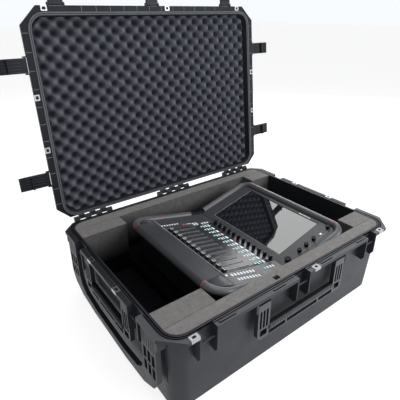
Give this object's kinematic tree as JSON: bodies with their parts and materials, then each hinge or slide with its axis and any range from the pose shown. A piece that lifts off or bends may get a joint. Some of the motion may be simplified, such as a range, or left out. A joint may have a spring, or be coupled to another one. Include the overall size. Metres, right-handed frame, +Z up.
{
  "type": "console transport case",
  "caption": "Open wheeled hard transport case with hinged foam-lined lid, latches and fold-down handles, holding a digital mixing console in cut foam.",
  "frame": {"origin": "middle of the case's underside", "axes": "+Z up, +X along the hinge line towards the wheeled end, +Y towards the hinge"},
  "size_m": [1.131, 0.8602, 1.0507],
  "materials": {
    "case_plastic": "fine moulded texture",
    "latch_plastic": "fine moulded texture",
    "rubber": "smooth black",
    "steel": "plain",
    "foam_grey": "cut closed-cell foam",
    "foam_charcoal": "open-cell foam",
    "console_metal": "black textured paint",
    "tube_metal": "satin black",
    "knob_plastic": "satin",
    "screen_glass": "glossy black glass",
    "pad_vinyl": "padded black vinyl"
  },
  "bodies": {
    "base": {"base_shell": "case_plastic", "hinge_pin_left": "steel", "hinge_pin_middle": "steel", "hinge_pin_right": "steel", "wheel_axle_near": "steel", "wheel_axle_far": "steel", "base_foam": "foam_grey", "floor_foam": "foam_grey"},
    "lid": {"lid_shell": "case_plastic", "lid_seal": "rubber", "lid_foam": "foam_charcoal"},
    "console": {"console_chassis": "console_metal", "console_control_panel": "console_metal", "console_armrest": "pad_vinyl", "console_screen_panel": "console_metal", "console_screen": "screen_glass", "console_tube_front": "tube_metal", "console_tube_rear": "tube_metal"},
    "latch_front_left": {"latch_front_left": "latch_plastic"},
    "latch_front_middle": {"latch_front_middle": "latch_plastic"},
    "latch_front_right": {"latch_front_right": "latch_plastic"},
    "latch_left_near": {"latch_left_near": "latch_plastic"},
    "latch_left_far": {"latch_left_far": "latch_plastic"},
    "latch_right_near": {"latch_right_near": "latch_plastic"},
    "latch_right_far": {"latch_right_far": "latch_plastic"},
    "front_handle": {"front_handle": "case_plastic"},
    "left_handle": {"left_handle": "case_plastic"},
    "right_handle": {"right_handle": "case_plastic"},
    "pull_handle": {"pull_handle": "case_plastic"},
    "wheel_near": {"wheel_near": "rubber"},
    "wheel_far": {"wheel_far": "rubber"},
    "fader_01": {"fader_01": "knob_plastic"},
    "fader_02": {"fader_02": "knob_plastic"},
    "fader_03": {"fader_03": "knob_plastic"},
    "fader_04": {"fader_04": "knob_plastic"},
    "fader_05": {"fader_05": "knob_plastic"},
    "fader_06": {"fader_06": "knob_plastic"},
    "fader_07": {"fader_07": "knob_plastic"},
    "fader_08": {"fader_08": "knob_plastic"},
    "fader_09": {"fader_09": "knob_plastic"},
    "fader_10": {"fader_10": "knob_plastic"},
    "fader_11": {"fader_11": "knob_plastic"},
    "fader_12": {"fader_12": "knob_plastic"},
    "encoder_01": {"encoder_01": "knob_plastic"},
    "encoder_02": {"encoder_02": "knob_plastic"},
    "encoder_03": {"encoder_03": "knob_plastic"},
    "encoder_04": {"encoder_04": "knob_plastic"},
    "encoder_05": {"encoder_05": "knob_plastic"},
    "encoder_06": {"encoder_06": "knob_plastic"},
    "encoder_07": {"encoder_07": "knob_plastic"},
    "encoder_08": {"encoder_08": "knob_plastic"},
    "encoder_09": {"encoder_09": "knob_plastic"},
    "encoder_10": {"encoder_10": "knob_plastic"},
    "encoder_11": {"encoder_11": "knob_plastic"},
    "encoder_12": {"encoder_12": "knob_plastic"},
    "menu_knob": {"menu_knob": "knob_plastic"},
    "side_knob_1": {"side_knob_1": "knob_plastic"},
    "side_knob_2": {"side_knob_2": "knob_plastic"},
    "side_knob_3": {"side_knob_3": "knob_plastic"},
    "level_knob": {"level_knob": "knob_plastic"}
  },
  "joints": [
    {"name": "lid_hinge", "type": "hinge", "parent": "base", "child": "lid", "pos_m": [0, 0.3472, 0.2595], "axis": [1, 0, 0], "range_deg": [0, 95.8]},
    {"name": "latch_front_left_pivot", "type": "hinge", "parent": "lid", "child": "latch_front_left", "pos_m": [-0.352, 0.42428, 0.95899], "axis": [1, 0, 0], "range_deg": [0, 90]},
    {"name": "latch_front_middle_pivot", "type": "hinge", "parent": "lid", "child": "latch_front_middle", "pos_m": [-0.01, 0.42428, 0.95899], "axis": [1, 0, 0], "range_deg": [0, 90]},
    {"name": "latch_front_right_pivot", "type": "hinge", "parent": "lid", "child": "latch_front_right", "pos_m": [0.331, 0.42428, 0.95899], "axis": [1, 0, 0], "range_deg": [0, 90]},
    {"name": "latch_left_near_pivot", "type": "hinge", "parent": "lid", "child": "latch_left_near", "pos_m": [-0.4735, 0.40675, 0.78638], "axis": [0, 0.1011, 0.9949], "range_deg": [0, 90]},
    {"name": "latch_left_far_pivot", "type": "hinge", "parent": "lid", "child": "latch_left_far", "pos_m": [-0.4735, 0.36976, 0.42225], "axis": [0, 0.1011, 0.9949], "range_deg": [0, 90]},
    {"name": "latch_right_near_pivot", "type": "hinge", "parent": "lid", "child": "latch_right_near", "pos_m": [0.4735, 0.40675, 0.78638], "axis": [0, -0.1011, -0.9949], "range_deg": [0, 90]},
    {"name": "latch_right_far_pivot", "type": "hinge", "parent": "lid", "child": "latch_right_far", "pos_m": [0.4735, 0.36976, 0.42225], "axis": [0, -0.1011, -0.9949], "range_deg": [0, 90]},
    {"name": "front_handle_swing", "type": "hinge", "parent": "base", "child": "front_handle", "pos_m": [0, -0.3385, 0.224], "axis": [-1, 0, 0], "range_deg": [0, 95]},
    {"name": "left_handle_swing", "type": "hinge", "parent": "base", "child": "left_handle", "pos_m": [-0.4535, 0, 0.224], "axis": [0, 1, 0], "range_deg": [0, 95]},
    {"name": "right_handle_swing", "type": "hinge", "parent": "base", "child": "right_handle", "pos_m": [0.4535, 0, 0.224], "axis": [0, -1, 0], "range_deg": [0, 95]},
    {"name": "pull_handle_swing", "type": "hinge", "parent": "base", "child": "pull_handle", "pos_m": [-0.4535, 0, 0.224], "axis": [0, 1, 0], "range_deg": [0, 95]},
    {"name": "wheel_near_roll", "type": "hinge", "parent": "base", "child": "wheel_near", "pos_m": [0.405, -0.262, 0.042], "axis": [0, 1, 0], "continuous": true},
    {"name": "wheel_far_roll", "type": "hinge", "parent": "base", "child": "wheel_far", "pos_m": [0.405, 0.262, 0.042], "axis": [0, 1, 0], "continuous": true},
    {"name": "console_lift", "type": "slide", "parent": "base", "child": "console", "axis": [0, 0, 1], "range_m": [0, 0.25]},
    {"name": "fader_01_slide", "type": "slide", "parent": "console", "child": "fader_01", "axis": [0.9789, 0, -0.2045], "range_m": [0, 0.1]},
    {"name": "fader_02_slide", "type": "slide", "parent": "console", "child": "fader_02", "axis": [0.9789, 0, -0.2045], "range_m": [0, 0.1]},
    {"name": "fader_03_slide", "type": "slide", "parent": "console", "child": "fader_03", "axis": [0.9789, 0, -0.2045], "range_m": [0, 0.1]},
    {"name": "fader_04_slide", "type": "slide", "parent": "console", "child": "fader_04", "axis": [0.9789, 0, -0.2045], "range_m": [0, 0.1]},
    {"name": "fader_05_slide", "type": "slide", "parent": "console", "child": "fader_05", "axis": [0.9789, 0, -0.2045], "range_m": [0, 0.1]},
    {"name": "fader_06_slide", "type": "slide", "parent": "console", "child": "fader_06", "axis": [0.9789, 0, -0.2045], "range_m": [0, 0.1]},
    {"name": "fader_07_slide", "type": "slide", "parent": "console", "child": "fader_07", "axis": [0.9789, 0, -0.2045], "range_m": [0, 0.1]},
    {"name": "fader_08_slide", "type": "slide", "parent": "console", "child": "fader_08", "axis": [0.9789, 0, -0.2045], "range_m": [0, 0.1]},
    {"name": "fader_09_slide", "type": "slide", "parent": "console", "child": "fader_09", "axis": [0.9789, 0, -0.2045], "range_m": [0, 0.1]},
    {"name": "fader_10_slide", "type": "slide", "parent": "console", "child": "fader_10", "axis": [0.9789, 0, -0.2045], "range_m": [0, 0.1]},
    {"name": "fader_11_slide", "type": "slide", "parent": "console", "child": "fader_11", "axis": [0.9789, 0, -0.2045], "range_m": [0, 0.1]},
    {"name": "fader_12_slide", "type": "slide", "parent": "console", "child": "fader_12", "axis": [0.9789, 0, -0.2045], "range_m": [0, 0.1]},
    {"name": "encoder_01_turn", "type": "hinge", "parent": "console", "child": "encoder_01", "pos_m": [0.028, 0.098, 0.19511], "axis": [0.2045, 0, 0.9789], "continuous": true},
    {"name": "encoder_02_turn", "type": "hinge", "parent": "console", "child": "encoder_02", "pos_m": [0.028, 0.0723, 0.19511], "axis": [0.2045, 0, 0.9789], "continuous": true},
    {"name": "encoder_03_turn", "type": "hinge", "parent": "console", "child": "encoder_03", "pos_m": [0.028, 0.0466, 0.19511], "axis": [0.2045, 0, 0.9789], "continuous": true},
    {"name": "encoder_04_turn", "type": "hinge", "parent": "console", "child": "encoder_04", "pos_m": [0.028, 0.0209, 0.19511], "axis": [0.2045, 0, 0.9789], "continuous": true},
    {"name": "encoder_05_turn", "type": "hinge", "parent": "console", "child": "encoder_05", "pos_m": [0.028, -0.0048, 0.19511], "axis": [0.2045, 0, 0.9789], "continuous": true},
    {"name": "encoder_06_turn", "type": "hinge", "parent": "console", "child": "encoder_06", "pos_m": [0.028, -0.0305, 0.19511], "axis": [0.2045, 0, 0.9789], "continuous": true},
    {"name": "encoder_07_turn", "type": "hinge", "parent": "console", "child": "encoder_07", "pos_m": [0.028, -0.0562, 0.19511], "axis": [0.2045, 0, 0.9789], "continuous": true},
    {"name": "encoder_08_turn", "type": "hinge", "parent": "console", "child": "encoder_08", "pos_m": [0.028, -0.0819, 0.19511], "axis": [0.2045, 0, 0.9789], "continuous": true},
    {"name": "encoder_09_turn", "type": "hinge", "parent": "console", "child": "encoder_09", "pos_m": [0.028, -0.1076, 0.19511], "axis": [0.2045, 0, 0.9789], "continuous": true},
    {"name": "encoder_10_turn", "type": "hinge", "parent": "console", "child": "encoder_10", "pos_m": [0.028, -0.1333, 0.19511], "axis": [0.2045, 0, 0.9789], "continuous": true},
    {"name": "encoder_11_turn", "type": "hinge", "parent": "console", "child": "encoder_11", "pos_m": [0.028, -0.159, 0.19511], "axis": [0.2045, 0, 0.9789], "continuous": true},
    {"name": "encoder_12_turn", "type": "hinge", "parent": "console", "child": "encoder_12", "pos_m": [0.028, -0.1847, 0.19511], "axis": [0.2045, 0, 0.9789], "continuous": true},
    {"name": "menu_knob_turn", "type": "hinge", "parent": "console", "child": "menu_knob", "pos_m": [0.066, -0.228, 0.19909], "axis": [-0.2504, 0, 0.9681], "continuous": true},
    {"name": "side_knob_1_turn", "type": "hinge", "parent": "console", "child": "side_knob_1", "pos_m": [0.12, -0.228, 0.21306], "axis": [-0.2504, 0, 0.9681], "continuous": true},
    {"name": "side_knob_2_turn", "type": "hinge", "parent": "console", "child": "side_knob_2", "pos_m": [0.153, -0.228, 0.22159], "axis": [-0.2504, 0, 0.9681], "continuous": true},
    {"name": "side_knob_3_turn", "type": "hinge", "parent": "console", "child": "side_knob_3", "pos_m": [0.189, -0.228, 0.2309], "axis": [-0.2504, 0, 0.9681], "continuous": true},
    {"name": "level_knob_turn", "type": "hinge", "parent": "console", "child": "level_knob", "pos_m": [0.262, -0.228, 0.24978], "axis": [-0.2504, 0, 0.9681], "continuous": true}
  ]
}
